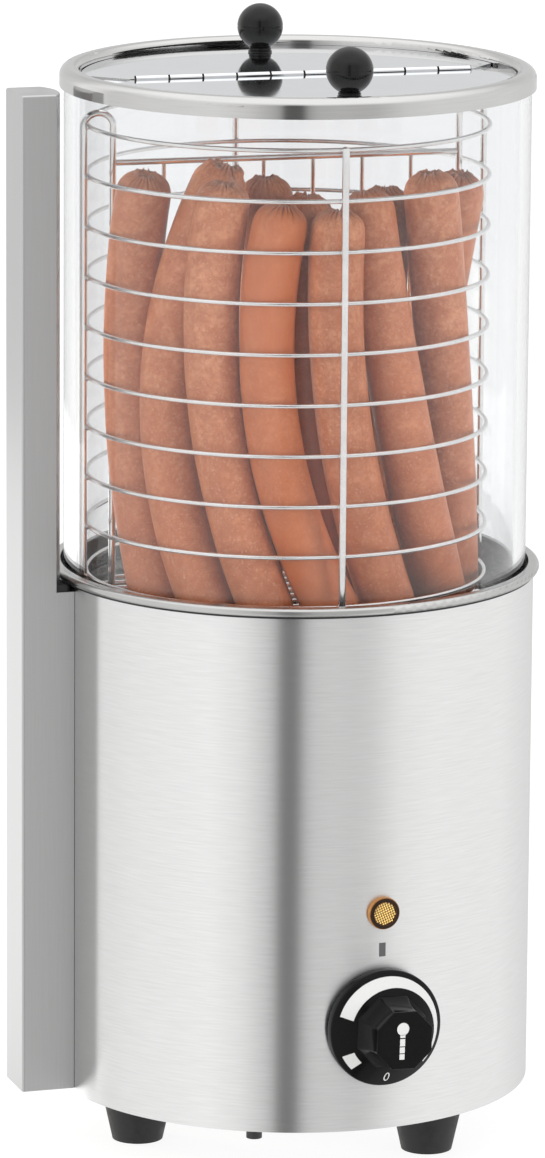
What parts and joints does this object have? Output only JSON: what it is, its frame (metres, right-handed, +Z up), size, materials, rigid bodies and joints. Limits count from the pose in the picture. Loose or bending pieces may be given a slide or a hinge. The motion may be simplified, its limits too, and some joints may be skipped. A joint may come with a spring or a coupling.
{
  "type": "hot dog machine",
  "caption": "Countertop hot dog warmer: steel drum with a heated water pan, glass cylinder, wire basket of sausages, folding lid, side column and control knob.",
  "frame": {"origin": "on the floor plane, at the middle of the footprint box", "axes": "+Z up along the drum's axis, -Y towards the controls, -X towards the side column"},
  "size_m": [0.2326, 0.246, 0.4848],
  "materials": {
    "brushed_steel": "brushed stainless sheet",
    "polished_steel": "polished stainless",
    "wire_steel": "drawn stainless wire, satin bright",
    "clear_glass": "clear tube glass",
    "black_plastic": "black thermoset, satin gloss",
    "black_rubber": "matt black rubber",
    "amber_lens": "amber lens with a waffle pattern",
    "amber_bezel": "dark amber moulding",
    "zinc_steel": "zinc-plated fastener",
    "heater_steel": "heat-tinted steel",
    "cast_aluminium": "cast aluminium",
    "copper_line": "copper capillary",
    "ceramic": "unglazed white ceramic",
    "white_plastic": "white moulding",
    "lead_red": "silicone lead",
    "sausage_skin": "smoked sausage casing, moist satin"
  },
  "bodies": {
    "base": {"foot_left": "black_rubber", "foot_front": "black_rubber", "foot_rear": "black_rubber", "foot_screws": "zinc_steel", "foot_nuts": "zinc_steel", "bottom_plate": "zinc_steel", "base_shell": "brushed_steel", "rim_seal": "black_rubber", "water_pan": "polished_steel", "steam_plate": "wire_steel", "heater_plate": "cast_aluminium", "heater_tube": "heater_steel", "heater_clamp": "zinc_steel", "tie_stud": "zinc_steel", "tie_nuts": "zinc_steel", "thermostat_body": "white_plastic", "thermostat_screws": "zinc_steel", "thermostat_sensor": "copper_line", "lamp_bezel": "amber_bezel", "lamp_lens": "amber_lens", "lamp_body": "white_plastic", "lamp_clip": "zinc_steel", "limiter_body": "white_plastic", "limiter_sensor": "copper_line", "terminal_block": "ceramic", "terminal_screws": "zinc_steel", "heater_lead_live": "lead_red", "heater_lead_neutral": "lead_red", "supply_lead": "lead_red", "lamp_lead": "lead_red", "cable_gland": "black_plastic", "gland_nut": "black_plastic", "column_shell": "brushed_steel", "column_cap": "black_plastic", "column_blocks": "zinc_steel", "column_screws": "zinc_steel"},
    "glass": {"glass_cylinder": "clear_glass"},
    "basket": {"basket_hoops": "wire_steel", "basket_posts": "wire_steel", "basket_hooks": "wire_steel", "basket_floor": "wire_steel", "divider": "wire_steel", "sausages_front_row": "sausage_skin", "sausages_back_row": "sausage_skin"},
    "lid": {"lid_ring": "polished_steel"},
    "lid_front": {"lid_leaf_front": "polished_steel", "lid_knob_front": "black_plastic", "lid_knob_screw_front": "zinc_steel"},
    "lid_rear": {"lid_leaf_rear": "polished_steel", "lid_knob_rear": "black_plastic", "lid_knob_screw_rear": "zinc_steel", "hinge_pin": "zinc_steel"},
    "control": {"thermostat_knob": "black_plastic", "thermostat_spindle": "zinc_steel"},
    "reset": {"reset_button": "black_plastic"}
  },
  "joints": [
    {"name": "glass_lift", "type": "slide", "parent": "base", "child": "glass", "axis": [0, 0, 1], "range_m": [0, 0.25]},
    {"name": "basket_lift", "type": "slide", "parent": "glass", "child": "basket", "axis": [0, 0, 1], "range_m": [0, 0.25]},
    {"name": "lid_lift", "type": "slide", "parent": "basket", "child": "lid", "axis": [0, 0, 1], "range_m": [0, 0.1]},
    {"name": "lid_front_hinge", "type": "hinge", "parent": "lid", "child": "lid_front", "pos_m": [0.01026, 0.0065, 0.4635], "axis": [-0.994, 0.1097, 0], "range_deg": [0, 140]},
    {"name": "lid_rear_hinge", "type": "hinge", "parent": "lid", "child": "lid_rear", "pos_m": [0.01026, 0.0065, 0.4635], "axis": [-0.994, 0.1097, 0], "range_deg": [-140, 0]},
    {"name": "control_turn", "type": "hinge", "parent": "base", "child": "control", "pos_m": [0.01026, -0.103, 0.07], "axis": [0, 1, 0], "range_deg": [-180, 130]},
    {"name": "reset_push", "type": "slide", "parent": "base", "child": "reset", "axis": [0, 0, 1], "range_m": [0, 0.0025], "stiffness_N_per_m": 600}
  ]
}
